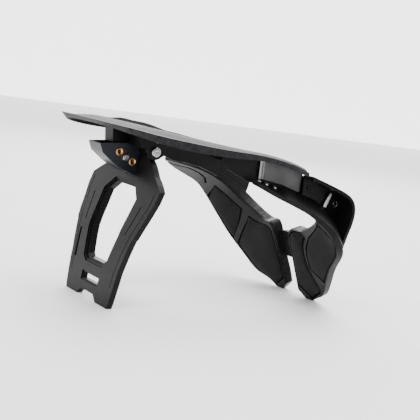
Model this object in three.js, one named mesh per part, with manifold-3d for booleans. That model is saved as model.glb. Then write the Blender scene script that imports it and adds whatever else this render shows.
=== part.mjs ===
// A motocross neck brace, standing by itself on the feet of its back strut and the tips of its chest wings.
// Millimetres, +Z up. The wearer faces +Y, and the wearer's right side is at +X.
import * as THREE from 'three';
import { mergeVertices } from 'three/addons/utils/BufferGeometryUtils.js';
import Module from 'manifold-3d';

const wasm = await Module();
wasm.setup();

// Overall sizes that the tables below share out: half width, reach to the rear rim, height of the rear rim
const HALF_WIDTH = 110;
const REACH = 150;
const HEIGHT = 170;

// Clearances between pieces
const GAP = 0.35;
const SWING_GAP = 1;

// Collar plate
const PLATE = 3.6;
const RIM_WALL = 2.6;
const RIM_DEPTH = 9;
const RIM_TUCK = 7;
const HOLE_EDGE = 9;
const CROWN = 3.5;
const SEAM = 1.9;
const NOTCH = 2.2;

// Neck walls and side panels, measured outward from the edge of the neck hole
const WALL_SETBACK = 4.2;
const WALL = 3;
const PANEL = 2.6;

// Chest wings and their foam pads
const WING_THICKNESS = 15;
const WING_EDGE_SHARE = 0.45;
const WING_CHAMFER = 2.2;
const PAD_DEPTH = 4;
const PAD_PROUD = 1.2;

// Front shells
const SHELL = 3.2;
const SHELL_BLOCK = 1.5;
const WEB = 3;
const WEB_X = HALF_WIDTH * 79 / 110;

// Hinge pins and rings of the front shells
const PIN_RADIUS = 2.1;
const PIN_NECK = 1.5;
const RING_RADIUS = 2.7;
const RING_WIRE = 0.7;

// Back strut
const STRUT = 6;
const STRUT_TOP = 31.5;
const SLOT_WIDTH = 3.4;
const RECESS = 2.4;

// Strut pivot, hub and post
const PIVOT_Y = -REACH * 92 / 150;
const PIVOT_Z = HEIGHT * 145 / 170;
const EAR = 4;
const EAR_RADIUS = 7.6;
const PIVOT_HEAD = 4.6;
const PIVOT_SHANK = 2.3;
const SCREW_HEAD_HEIGHT = 2.2;
const HUB_HALF = 12;
const CHEEK = 3;
const INSERT_RADIUS = 3.7;
const INSERT_BORE = 1.7;
const LOCK_HEAD = 3.3;
const PROUD = 0.7;

// Rivets on the wings
const RIVET_RADIUS = 2.2;
const RIVET_HEIGHT = 1.4;

// Centre clasp
const CLASP_STEM = 12;
const CLASP_PLATE = 30;
const CLASP_THICKNESS = 4;

const ROUND_SIDES = 20;

// Shares of HALF_WIDTH, REACH and HEIGHT to millimetres, on the right side at side 1 and the left at side -1
const place = (side, x, y, z) => [side * x * HALF_WIDTH, y * REACH, z * HEIGHT];

// Collar sections from the middle of the rear rim to the front tip: outer x, y, z, inner x, y, z, rim depth share
const COLLAR = [
  [0.000, -0.987, 0.991, 0.000, -0.647, 0.962, 0.47],
  [0.364, -0.977, 0.990, 0.218, -0.627, 0.962, 0.51],
  [0.655, -0.927, 0.984, 0.400, -0.547, 0.951, 0.67],
  [0.845, -0.800, 0.966, 0.518, -0.413, 0.938, 0.80],
  [0.945, -0.613, 0.948, 0.573, -0.253, 0.917, 0.84],
  [0.982, -0.413, 0.932, 0.600, -0.080, 0.897, 0.72],
  [0.982, -0.187, 0.919, 0.609, 0.067, 0.880, 0.56],
  [0.945, -0.020, 0.900, 0.609, 0.187, 0.862, 0.53],
  [0.882, 0.167, 0.868, 0.609, 0.280, 0.842, 0.53],
  [0.800, 0.320, 0.831, 0.609, 0.353, 0.822, 0.49],
];

// Wing sections from the tip of the shoulder arm to the chest tip, on the face that lies on the body:
// medial x, y, z, lateral x, y, z, thickness share
const WING = [
  [0.718, -0.080, 0.747, 0.764, -0.053, 0.735, 0.33],
  [0.682, 0.040, 0.732, 0.836, 0.060, 0.688, 0.33],
  [0.673, 0.187, 0.706, 0.891, 0.187, 0.644, 0.40],
  [0.664, 0.313, 0.671, 0.927, 0.313, 0.594, 0.53],
  [0.645, 0.440, 0.612, 0.991, 0.440, 0.506, 0.80],
  [0.582, 0.547, 0.535, 0.964, 0.540, 0.394, 1.00],
  [0.318, 0.613, 0.447, 0.809, 0.600, 0.276, 1.00],
  [0.127, 0.607, 0.418, 0.664, 0.680, 0.165, 1.00],
  [0.100, 0.687, 0.247, 0.536, 0.747, 0.076, 0.87],
  [0.086, 0.747, 0.129, 0.391, 0.800, 0.035, 0.73],
  [0.082, 0.787, 0.050, 0.227, 0.830, -0.020, 0.60],
];

// Foam pads, by their four corners on the wing: section number, share of the way from medial to lateral
const PADS = {
  right: {
    shoulder_pad: [[5.0, 0.20], [7.25, 0.62], [7.0, 0.93], [4.4, 0.93]],
    chest_pad: [[6.35, 0.08], [9.3, 0.14], [9.4, 0.86], [7.75, 0.80]],
  },
  left: {
    shoulder_pad: [[3.8, 0.42], [5.35, 0.25], [6.2, 0.93], [4.2, 0.93]],
    chest_pad: [[5.85, 0.24], [9.3, 0.16], [9.45, 0.86], [6.7, 0.92]],
  },
};

// Front shell, from the collar's tip round the corner and down to the wing: y, z, inner x, outer x
const SHELL_BAND = [
  [0.345, 0.812, 0.690, 0.830],
  [0.490, 0.770, 0.690, 0.860],
  [0.600, 0.732, 0.690, 0.890],
  [0.655, 0.690, 0.690, 0.910],
  [0.668, 0.630, 0.700, 0.925],
  [0.645, 0.565, 0.720, 0.945],
  [0.618, 0.500, 0.750, 0.950],
  [0.608, 0.410, 0.800, 0.920],
  [0.612, 0.330, 0.790, 0.860],
];

// Side profile of the strut's outer face, from the feet up: y, z
const STRUT_PROFILE = [
  [-0.853, 0.000], [-0.835, 0.125], [-0.820, 0.212], [-0.780, 0.385], [-0.722, 0.526],
  [-0.668, 0.658], [-0.644, 0.724], [-0.636, 0.800], [-0.636, 0.884],
];

// Half outline of the strut seen from behind, from the middle of the notch round to the shoulder: x, z
const STRUT_OUTLINE = [
  [0.000, 0.036], [0.112, 0.036], [0.175, 0.000], [0.385, 0.000], [0.398, 0.032], [0.420, 0.125],
  [0.435, 0.211], [0.466, 0.298], [0.498, 0.382], [0.515, 0.396], [0.543, 0.461], [0.568, 0.526],
  [0.595, 0.593], [0.596, 0.658], [0.523, 0.690], [0.431, 0.724], [0.370, 0.765], [0.330, 0.790],
];
const STRUT_OPENING = [[0.138, 0.213], [0.170, 0.228], [0.232, 0.384], [0.242, 0.459], [0.257, 0.585], [0.160, 0.643]];
const STRUT_RECESS = [[0.330, 0.400], [0.372, 0.400], [0.420, 0.540], [0.392, 0.600], [0.350, 0.600]];
const FOOT_SLOT = [[-0.140, 0.092], [0.140, 0.092], [0.140, 0.126], [-0.140, 0.126]];
const SIDE_SLOT = [[0.350, 0.185], [0.384, 0.350]];

// Hub cheek seen from the side, and its three screw places: y, z
const HUB_PROFILE = [
  [-0.630, 0.884], [-0.913, 0.865], [-0.887, 0.815], [-0.813, 0.766], [-0.747, 0.732], [-0.655, 0.703],
  [-0.640, 0.712],
];
const HUB_SCREWS = [[-0.773, 0.827], [-0.727, 0.798], [-0.675, 0.777]];

// Solids from rings of points

function geometryOf(points, triangles) {
  const geometry = new THREE.BufferGeometry();
  geometry.setAttribute('position', new THREE.Float32BufferAttribute(points.flat(), 3));
  geometry.setIndex(triangles.flat());
  return geometry;
}

function toSolid(geometry) {
  const bare = geometry.clone();
  bare.deleteAttribute('normal');
  bare.deleteAttribute('uv');
  const merged = mergeVertices(bare, 1e-4);
  const mesh = new wasm.Mesh({
    numProp: 3,
    vertProperties: merged.attributes.position.array,
    triVerts: new Uint32Array(merged.index.array),
  });
  return new wasm.Manifold(mesh);
}

function toGeometry(solid) {
  const mesh = solid.getMesh();
  const geometry = new THREE.BufferGeometry();
  geometry.setAttribute('position', new THREE.BufferAttribute(new Float32Array(mesh.vertProperties), 3));
  geometry.setIndex(new THREE.BufferAttribute(new Uint32Array(mesh.triVerts), 1));
  geometry.computeVertexNormals();
  return geometry;
}

// Triangles of one ring, seen along its own normal
function capTriangles(ring) {
  const normal = new THREE.Vector3();
  ring.forEach((p, i) => {
    const q = ring[(i + 1) % ring.length];
    normal.x += (p[1] - q[1]) * (p[2] + q[2]);
    normal.y += (p[2] - q[2]) * (p[0] + q[0]);
    normal.z += (p[0] - q[0]) * (p[1] + q[1]);
  });
  normal.normalize();
  const helper = Math.abs(normal.z) < 0.9 ? new THREE.Vector3(0, 0, 1) : new THREE.Vector3(1, 0, 0);
  const u = new THREE.Vector3().crossVectors(helper, normal).normalize();
  const v = new THREE.Vector3().crossVectors(normal, u);
  const flat = ring.map((p) => {
    const w = new THREE.Vector3(...p);
    return new THREE.Vector2(w.dot(u), w.dot(v));
  });
  return THREE.ShapeUtils.triangulateShape(flat, []);
}

// A closed solid through rings with as many points each, in either turning direction
function loft(rings) {
  const n = rings[0].length;
  const triangles = [];
  for (let r = 0; r + 1 < rings.length; r += 1) {
    for (let i = 0; i < n; i += 1) {
      const a = r * n + i;
      const b = r * n + ((i + 1) % n);
      triangles.push([a, b, b + n], [a, b + n, a + n]);
    }
  }
  capTriangles(rings[0]).forEach(([a, b, c]) => triangles.push([a, c, b]));
  const last = (rings.length - 1) * n;
  capTriangles(rings[rings.length - 1]).forEach(([a, b, c]) => triangles.push([a + last, b + last, c + last]));
  const points = rings.flat();
  const volume = triangles.reduce((sum, [a, b, c]) => {
    const [p, q, s] = [a, b, c].map((k) => new THREE.Vector3(...points[k]));
    return sum + p.dot(q.cross(s));
  }, 0);
  const facing = volume < 0 ? triangles.map(([a, b, c]) => [a, c, b]) : triangles;
  return toSolid(geometryOf(points, facing));
}

// A prism of an outline in the plane across one axis
function prism(outline, axis, from, to) {
  const lift = (p, level) => {
    const point = [...p];
    point.splice(axis, 0, level);
    return point;
  };
  return loft([from, to].map((level) => outline.map((p) => lift(p, level))));
}

function rod(side, x0, x1, y, z, radius) {
  const circle = [];
  for (let i = 0; i < ROUND_SIDES; i += 1) {
    const turn = (2 * Math.PI * i) / ROUND_SIDES;
    circle.push([y + radius * Math.cos(turn), z + radius * Math.sin(turn)]);
  }
  return prism(circle, 0, side * x0, side * x1);
}

// A turned piece on an axis from one point towards another, from radius and distance pairs
function turned(profile, start, towards, sides = ROUND_SIDES) {
  const geometry = new THREE.LatheGeometry(profile.map(([r, d]) => new THREE.Vector2(r, d)), sides);
  const direction = new THREE.Vector3(...towards).sub(new THREE.Vector3(...start)).normalize();
  const turn = new THREE.Quaternion().setFromUnitVectors(new THREE.Vector3(0, 1, 0), direction);
  geometry.applyQuaternion(turn);
  geometry.translate(...start);
  const solid = toSolid(geometry);
  if (solid.volume() > 0) return solid;
  const flipped = geometry.clone();
  const order = Array.from(flipped.index.array);
  for (let i = 0; i < order.length; i += 3) [order[i + 1], order[i + 2]] = [order[i + 2], order[i + 1]];
  flipped.setIndex(order);
  return toSolid(flipped);
}

// The main body of a solid, without the slivers that a cut may leave
const mainBody = (solid) => solid.decompose().sort((a, b) => b.volume() - a.volume())[0];

const union = (first, ...rest) => rest.reduce((sum, solid) => sum.add(solid), first);
const mix = (a, b, t) => a + (b - a) * t;

// A table's row at a broken row number, on a smooth curve through the rows
function rowAt(table, at) {
  const last = table.length - 1;
  const i = Math.min(Math.max(Math.floor(at), 0), last - 1);
  const t = at - i;
  const row = (k) => table[Math.min(Math.max(k, 0), last)];
  return table[0].map((_, c) => {
    const [a, b, d, e] = [row(i - 1)[c], row(i)[c], row(i + 1)[c], row(i + 2)[c]];
    return b + 0.5 * t * (d - a + t * (2 * a - 5 * b + 4 * d - e + t * (3 * (b - d) + e - a)));
  });
}

function steps(from, to, count) {
  return Array.from({ length: count + 1 }, (_, i) => mix(from, to, i / count));
}

// Collar

// A collar section's frame: inner and outer point, width across and top height at a share of the way outward
function collarSection(station) {
  const side = station < 0 ? -1 : 1;
  const [ox, oy, oz, ix, iy, iz, rim] = rowAt(COLLAR, Math.abs(station));
  const outer = place(side, ox, oy, oz);
  const inner = place(side, ix, iy, iz);
  const across = Math.hypot(outer[0] - inner[0], outer[1] - inner[1]);
  const crown = (share) => CROWN * Math.sin(Math.PI * Math.min(1, share * 1.25)) * (share < 0.8 ? 1 : 0);
  const top = (share) => mix(inner[2], outer[2], share) + crown(share);
  const point = (share, z) => [mix(inner[0], outer[0], share), mix(inner[1], outer[1], share), z];
  const tuck = (RIM_TUCK * (1 - Math.abs(station) / (COLLAR.length - 1))) / across;
  return { across, top, point, rim: rim * RIM_DEPTH, tuck };
}

function collarRing(station, grow = 0) {
  const { across, top, point, rim, tuck } = collarSection(station);
  const wall = RIM_WALL / across;
  const edge = grow / across;
  const upper = [0, 0.08, 0.25, 0.45, 0.65, 0.8, 1];
  const lower = [1 - wall - tuck, 0.7, 0.5, 0.3, wall];
  const ring = upper.map((s) => point(s === 0 ? -edge : s === 1 ? 1 + edge : s, top(s) + grow));
  ring.push(point(1 + edge - tuck, top(1) - rim - grow), point(1 - wall - edge - tuck, top(1) - rim - grow));
  lower.forEach((s) => ring.push(point(s, top(s) - PLATE - grow)));
  ring.push(point(wall + edge, top(0) - HOLE_EDGE - grow), point(-edge, top(0) - HOLE_EDGE - grow));
  return ring;
}

function collarPiece(from, to, count, grow = 0) {
  return loft(steps(from, to, count).map((station) => collarRing(station, grow)));
}

function seamNotch(side) {
  const { top, point } = collarSection(side * SEAM);
  const [x, y, z] = point(1, top(1));
  return prism([[x - NOTCH, y], [x, y - NOTCH], [x + NOTCH, y], [x, y + NOTCH]], 2, z - RIM_DEPTH * 2, z + CROWN);
}

const seamShare = GAP / 2 / (REACH * 0.2);
const collarGrown = union(
  collarPiece(-SEAM, SEAM, 16, GAP),
  collarPiece(SEAM, COLLAR.length - 1, 18, GAP),
  collarPiece(-SEAM, -(COLLAR.length - 1), 18, GAP),
);

// Wings

// A wing's point: section number, share from medial to lateral, depth from the body side outward
function wingFrame(side, at) {
  const [mx, my, mz, lx, ly, lz, share] = rowAt(WING, at);
  const medial = new THREE.Vector3(...place(side, mx, my, mz));
  const lateral = new THREE.Vector3(...place(side, lx, ly, lz));
  const ahead = rowAt(WING, Math.min(at + 0.1, WING.length - 1));
  const behind = rowAt(WING, Math.max(at - 0.1, 0));
  const middle = (row) => new THREE.Vector3(...place(side, row[0] + row[3], row[1] + row[4], row[2] + row[5]));
  const along = middle(ahead).sub(middle(behind));
  const normal = lateral.clone().sub(medial).cross(along).multiplyScalar(side).normalize();
  return { medial, lateral, normal, thickness: share * WING_THICKNESS };
}

function wingPoint(side, at, across, depth) {
  const { medial, lateral, normal } = wingFrame(side, at);
  return medial.clone().lerp(lateral, across).addScaledVector(normal, depth).toArray();
}

function wingSolid(side, grow = 0) {
  const rings = steps(0, WING.length - 1, 30).map((at) => {
    const { medial, lateral, normal, thickness } = wingFrame(side, at);
    const span = medial.distanceTo(lateral);
    const reach = grow / span;
    const chamfer = Math.min(WING_CHAMFER, thickness * 0.3);
    const edge = Math.max(thickness * WING_EDGE_SHARE, PAD_DEPTH);
    const spot = (across, depth) => wingPoint(side, at, across, depth);
    return [
      spot(-reach, chamfer - grow), spot(chamfer / span, -grow), spot(1, -grow), spot(1 + reach, 0.5),
      spot(1 + reach, edge + grow), spot(0.55, thickness * 0.9 + grow), spot(chamfer / span, thickness + grow),
      spot(-reach, thickness - chamfer + grow),
    ];
  });
  return loft(rings);
}

// A patch of a wing between two depths, by its four corners, grown sideways by a margin
const wordOf = (side) => (side > 0 ? 'right' : 'left');

function wingPatch(side, corners, from, to, margin) {
  const middle = [0, 1].map((k) => corners.reduce((sum, c) => sum + c[k], 0) / corners.length);
  const grown = corners.map(([at, across]) => {
    const { medial, lateral } = wingFrame(side, at);
    const next = wingFrame(side, at + 0.1);
    const step = medial.clone().lerp(lateral, across).distanceTo(next.medial.lerp(next.lateral, across)) * 10;
    const a = at + (Math.sign(at - middle[0]) * margin) / step;
    return [a, across + (Math.sign(across - middle[1]) * margin) / medial.distanceTo(lateral)];
  });
  const count = 8;
  const rings = steps(0, 1, count).map((s) => {
    const near = [0, 1].map((k) => mix(grown[0][k], grown[1][k], s));
    const far = [0, 1].map((k) => mix(grown[3][k], grown[2][k], s));
    const row = steps(0, 1, 4).map((t) => [mix(near[0], far[0], t), mix(near[1], far[1], t)]);
    const lower = row.map(([a, b]) => wingPoint(side, a, b, from));
    const upper = row.map(([a, b]) => wingPoint(side, a, b, to)).reverse();
    return [...lower, ...upper];
  });
  return loft(rings);
}

const floorCut = prism(
  [[-2 * HALF_WIDTH, -2 * REACH], [2 * HALF_WIDTH, -2 * REACH], [2 * HALF_WIDTH, 2 * REACH],
    [-2 * HALF_WIDTH, 2 * REACH]],
  2, -HEIGHT, 0,
);

function wing(side) {
  const pockets = Object.values(PADS[wordOf(side)]).map((corners) => wingPatch(side, corners, -PAD_PROUD * 4, PAD_DEPTH, GAP * 3));
  return pockets.reduce((sum, pocket) => sum.subtract(pocket), wingSolid(side)).subtract(floorCut);
}

function pad(side, name) {
  return wingPatch(side, PADS[wordOf(side)][name], -PAD_PROUD, PAD_DEPTH - 2 * GAP, 0).subtract(floorCut);
}

function rivet(side, at) {
  const depth = wingFrame(side, at).thickness;
  const start = wingPoint(side, at, 0.5, depth + GAP);
  const end = wingPoint(side, at, 0.5, depth + GAP + RIVET_HEIGHT);
  const dome = [[0, 0], [RIVET_RADIUS, 0], [RIVET_RADIUS, RIVET_HEIGHT * 0.4], [RIVET_RADIUS * 0.6, RIVET_HEIGHT],
    [0, RIVET_HEIGHT]];
  return turned(dome, start, end, 12);
}

// Neck walls under the collar, and the panels on them

const WALL_FROM = 4.15;
const PANEL_FROM = 5.8;
const PANEL_TO = 8.75;

// Height of the wall's lower edge at a share of REACH forward
function wallFoot(y) {
  const rows = [[-0.310, 0.900], [-0.267, 0.862], [-0.193, 0.812], [-0.047, 0.758], [0.040, 0.752], [0.187, 0.730],
    [0.313, 0.692], [0.400, 0.650]];
  const k = rows.findIndex((row) => row[0] >= y);
  if (k <= 0) return rows[k === 0 ? 0 : rows.length - 1][1] * HEIGHT;
  const [a, b] = [rows[k - 1], rows[k]];
  return mix(a[1], b[1], (y - a[0]) / (b[0] - a[0])) * HEIGHT;
}

function wallRing(side, station, from, to, footLift) {
  const { across, top, point } = collarSection(side * station);
  const shares = [from / across, to / across];
  const foot = point(shares[0], 0)[1] / REACH;
  return [
    point(shares[0], top(shares[0]) - PLATE - GAP), point(shares[1], top(shares[1]) - PLATE - GAP),
    point(shares[1], wallFoot(foot) + footLift), point(shares[0], wallFoot(foot) + footLift),
  ];
}

const wingsGrown = [1, -1].map((side) => wingSolid(side, GAP));
const wingGrown = (side) => wingsGrown[side > 0 ? 0 : 1];

function neckWall(side) {
  const rings = steps(WALL_FROM, COLLAR.length - 1.02, 20)
    .map((station) => wallRing(side, station, WALL_SETBACK, WALL_SETBACK + WALL, -2));
  return loft(rings).subtract(wingGrown(side)).subtract(collarGrown);
}

function sidePanel(side) {
  const inner = WALL_SETBACK + WALL + GAP;
  const rings = steps(PANEL_FROM, PANEL_TO, 12).map((station, i) => {
    const thin = i === 0 || i === 12 ? 0.5 : 1;
    return wallRing(side, station, inner, inner + PANEL * thin, 3);
  });
  return loft(rings).subtract(wingGrown(side)).subtract(collarGrown);
}

// Front shells with their pins

function bandRing(side, at) {
  const [y, z, inner, outer] = rowAt(SHELL_BAND, at);
  const ahead = rowAt(SHELL_BAND, Math.min(at + 0.1, SHELL_BAND.length - 1));
  const behind = rowAt(SHELL_BAND, Math.max(at - 0.1, 0));
  const along = new THREE.Vector2((ahead[0] - behind[0]) * REACH, (ahead[1] - behind[1]) * HEIGHT).normalize();
  const inward = [along.y * SHELL, -along.x * SHELL];
  const spot = (x, depth) => [side * x * HALF_WIDTH, y * REACH + inward[0] * depth, z * HEIGHT + inward[1] * depth];
  return [spot(inner, 0), spot(outer, 0), spot(outer, 1), spot(inner, 1)];
}

// The screw block at the rear end of the shell's web: y, z
const SHELL_BLOCK_SHAPE = [[0.326, 0.806], [0.400, 0.790], [0.400, 0.672], [0.326, 0.672]];

function frontShell(side) {
  const last = SHELL_BAND.length - 1;
  const band = loft(steps(0, last, 24).map((at) => bandRing(side, at)));
  const rim = steps(0, last - 2, 12).map((at) => {
    const [y, z] = rowAt(SHELL_BAND, at);
    return [y * REACH - 1, z * HEIGHT - 1];
  });
  const web = [...rim, [0.5 * REACH, 0.56 * HEIGHT], [0.345 * REACH, 0.66 * HEIGHT]];
  const block = SHELL_BLOCK_SHAPE.map(([y, z]) => [y * REACH, z * HEIGHT]);
  return band.add(prism(web, 0, side * (WEB_X - WEB), side * WEB_X))
    .add(prism(block, 0, side * (WEB_X - WEB - SHELL_BLOCK), side * (WEB_X + SHELL_BLOCK)))
    .subtract(wingGrown(side)).subtract(collarGrown);
}

const PIN_TOP = [0.555, 0.716];
const PIN_FOOT = [0.515, 0.636];

function frontPin(side) {
  const x = side * (WEB_X + PIN_RADIUS + GAP);
  const [top, foot] = [PIN_TOP, PIN_FOOT].map(([y, z]) => [x, y * REACH, z * HEIGHT]);
  const length = Math.hypot(top[1] - foot[1], top[2] - foot[2]);
  const middle = length * 0.52;
  const profile = [[0, 0], [PIN_RADIUS, 0], [PIN_RADIUS, middle - 0.5], [PIN_NECK, middle - 0.5],
    [PIN_NECK, middle + 0.5], [PIN_RADIUS, middle + 0.5], [PIN_RADIUS, length], [0, length]];
  return turned(profile, foot, top, 14);
}

function pinRing(side) {
  const ring = new THREE.TorusGeometry(RING_RADIUS, RING_WIRE, 6, 14);
  ring.rotateY(Math.PI / 2);
  ring.translate(side * (WEB_X + RING_WIRE + GAP), 0.613 * REACH, 0.655 * HEIGHT);
  return toSolid(ring);
}

// Back strut

const mirrored = (half) => [...half, ...half.filter(([x]) => x !== 0).map(([x, z]) => [-x, z]).reverse()];
const scaleXZ = ([x, z]) => [x * HALF_WIDTH, z * HEIGHT];

// The slab between two depths behind the strut's outer face, as wide as asked
function strutSlab(from, to, half) {
  const rings = [-half, half].map((x) => {
    const faces = [from, to].map((depth) => steps(0, STRUT_PROFILE.length - 1, 21).map((at) => {
      const [y, z] = rowAt(STRUT_PROFILE, at);
      return [x, y * REACH + depth, z * HEIGHT];
    }));
    return [...faces[0], ...faces[1].reverse()];
  });
  return loft(rings);
}

function strutCut(points, from, to) {
  return prism(points.map(scaleXZ), 1, -REACH * 1.2, 0).intersect(strutSlab(from, to, HALF_WIDTH));
}

function sideSlot(side) {
  const [low, high] = SIDE_SLOT.map(scaleXZ);
  const half = SLOT_WIDTH / 2;
  const outline = [[low[0] - half, low[1]], [low[0] + half, low[1]], [high[0] + half, high[1]],
    [high[0] - half, high[1]]];
  return prism(outline.map(([x, z]) => [side * x, z]), 1, -REACH * 1.2, 0);
}

function backStrut() {
  const shoulder = [[STRUT_TOP, PIVOT_Z - EAR_RADIUS], [STRUT_TOP, STRUT_PROFILE.at(-1)[1] * HEIGHT]];
  const half = [...STRUT_OUTLINE.map(scaleXZ), ...shoulder];
  const body = prism(mirrored(half), 1, -REACH * 1.2, 0).intersect(strutSlab(0, STRUT, HALF_WIDTH));
  let strut = body.subtract(prism(mirrored([...STRUT_OPENING]).map(scaleXZ), 1, -REACH * 1.2, 0));
  strut = strut.subtract(prism(FOOT_SLOT.map(scaleXZ), 1, -REACH * 1.2, 0));
  strut = strut.subtract(sideSlot(-1));
  for (const side of [1, -1]) {
    strut = strut.subtract(strutCut(STRUT_RECESS.map(([x, z]) => [side * x, z]), -STRUT, RECESS));
    strut = strut.subtract(rod(side, STRUT_TOP * 0.75, STRUT_TOP + 1, PIVOT_Y, PIVOT_Z, PIVOT_SHANK + GAP));
  }
  return strut;
}

const strutGrown = strutSlab(-GAP, STRUT + GAP, HALF_WIDTH);

function strutHub() {
  const profile = HUB_PROFILE.map(([y, z]) => [y * REACH, z * HEIGHT]);
  const outer = prism(profile, 0, -HUB_HALF, HUB_HALF);
  const inner = profile.map(([y, z]) => [y + CHEEK * 0.4, z + CHEEK * 1.4]);
  let hub = outer.subtract(prism(inner, 0, CHEEK - HUB_HALF, HUB_HALF - CHEEK)).subtract(strutGrown);
  for (const side of [1, -1]) {
    HUB_SCREWS.forEach(([y, z], i) => {
      const radius = i === 1 ? LOCK_HEAD : INSERT_RADIUS;
      hub = hub.subtract(rod(side, 1, HUB_HALF + 1, y * REACH, z * HEIGHT, radius + GAP));
    });
  }
  return hub;
}

function insert(side, [y, z]) {
  const from = [side * (HUB_HALF - CHEEK), y * REACH, z * HEIGHT];
  const length = CHEEK + PROUD;
  const profile = [[INSERT_BORE, 0], [INSERT_RADIUS, 0], [INSERT_RADIUS, length - 0.5],
    [INSERT_RADIUS - 0.5, length], [INSERT_BORE + 0.5, length], [INSERT_BORE, length - 0.5], [INSERT_BORE, 0]];
  return turned(profile, from, [side * HUB_HALF, from[1], from[2]]);
}

// A slotted screw: head radius, shank radius and where the head's seat and the shank's end lie
function screw(side, y, z, head, shank, seat, end) {
  const height = SCREW_HEAD_HEIGHT;
  const length = Math.abs(seat - end);
  const profile = [[0, 0], [shank, 0], [shank, length], [head, length], [head, length + height - 0.6],
    [head - 0.6, length + height], [0, length + height]];
  const solid = turned(profile, [side * end, y, z], [side * (seat + height), y, z]);
  const slot = [[y - head * 0.7, z - 0.5], [y + head * 0.7, z - 0.5], [y + head * 0.7, z + 0.5], [y - head * 0.7, z + 0.5]];
  return solid.subtract(prism(slot, 0, side * (seat + height - 1), side * (seat + height + 1)));
}

// Post and ears that hang from the collar and carry the strut

const EAR_INNER = STRUT_TOP + GAP;
const EAR_OUTER = EAR_INNER + EAR;

function collarPost() {
  const top = HEIGHT * 0.98;
  const postFoot = 0.874 * HEIGHT;
  const barFoot = 0.902 * HEIGHT;
  const half = HUB_HALF - CHEEK - SWING_GAP;
  let post = prism([[-0.813, postFoot], [-0.827, top], [-0.66, top], [-0.66, postFoot]].map(([y, z]) => [y * REACH, z]),
    0, -half, half);
  const bar = [[-0.715, barFoot], [-0.715, top], [-0.66, top], [-0.66, barFoot]].map(([y, z]) => [y * REACH, z]);
  post = post.add(prism(bar, 0, -EAR_OUTER, EAR_OUTER));
  const skirtFoot = 0.868 * HEIGHT;
  const skirt = bar.map(([y, z]) => [y, z < top ? skirtFoot : z]);
  for (const side of [1, -1]) {
    post = post.add(prism(skirt, 0, side * (HUB_HALF + SWING_GAP), side * EAR_OUTER));
    const ear = [[-0.715 * REACH, top], [-0.66 * REACH, top], [-0.6 * REACH, PIVOT_Z + EAR_RADIUS],
      [-0.52 * REACH, PIVOT_Z + PIVOT_HEAD], [-0.52 * REACH, PIVOT_Z + 0.5], [PIVOT_Y + EAR, PIVOT_Z - EAR_RADIUS + 1],
      [PIVOT_Y - 5, PIVOT_Z - EAR_RADIUS + 2], [-0.7 * REACH, barFoot]];
    post = post.add(prism(ear, 0, side * EAR_INNER, side * EAR_OUTER));
    post = post.add(rod(side, EAR_INNER, EAR_OUTER, PIVOT_Y, PIVOT_Z, EAR_RADIUS));
    post = post.subtract(rod(side, EAR_INNER - 1, EAR_OUTER + 1, PIVOT_Y, PIVOT_Z, PIVOT_SHANK + GAP));
  }
  return post.subtract(collarGrown).subtract(collarGrown.translate(0, 0, PLATE));
}

// Centre clasp between the two wings

function centreClasp() {
  const spots = [[0.700, 0.395], [0.735, 0.315], [0.762, 0.235]];
  const rings = (half, front, back) => spots.map(([y, z]) => {
    const [cy, cz] = [y * REACH, z * HEIGHT];
    return [[-half, cy + back, cz], [half, cy + back, cz], [half, cy + front, cz], [-half, cy + front, cz]];
  });
  const front = WING_THICKNESS + CLASP_THICKNESS;
  const stem = loft(rings(CLASP_STEM, front, -2));
  const zone = loft(rings(CLASP_PLATE, front * 2, WING_THICKNESS / 2));
  const cover = wingSolid(1, CLASP_THICKNESS).add(wingSolid(-1, CLASP_THICKNESS)).intersect(zone);
  return stem.add(cover).subtract(wingGrown(1)).subtract(wingGrown(-1));
}

// Assembly

const finish = (color, roughness, metalness) => ({ color, roughness, metalness });
const NYLON = finish(0x2b2b2d, 0.5, 0);
const CARBON = finish(0x3a3b3d, 0.3, 0);
const SATIN = finish(0x6a6a6c, 0.35, 0.1);
const SLATE = finish(0x3b4047, 0.5, 0);
const FOAM = finish(0x202021, 0.9, 0);
const STEEL = finish(0xb9bbbd, 0.3, 1);
const BRASS = finish(0xc08a4a, 0.35, 1);

const brace = new THREE.Group();

function addPiece(name, solid, look) {
  const mesh = new THREE.Mesh(toGeometry(mainBody(solid)), new THREE.MeshStandardMaterial(look));
  mesh.name = name;
  brace.add(mesh);
}

const seamTrim = union(seamNotch(1), seamNotch(-1));
const frontEnd = COLLAR.length - 1;
addPiece('collar_rear_plate', collarPiece(-SEAM + seamShare, SEAM - seamShare, 20).subtract(seamTrim), CARBON);
addPiece('collar_post', collarPost(), NYLON);
addPiece('back_strut', backStrut(), NYLON);
addPiece('strut_hub', strutHub(), SLATE);
addPiece('centre_clasp', centreClasp(), NYLON);

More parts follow.
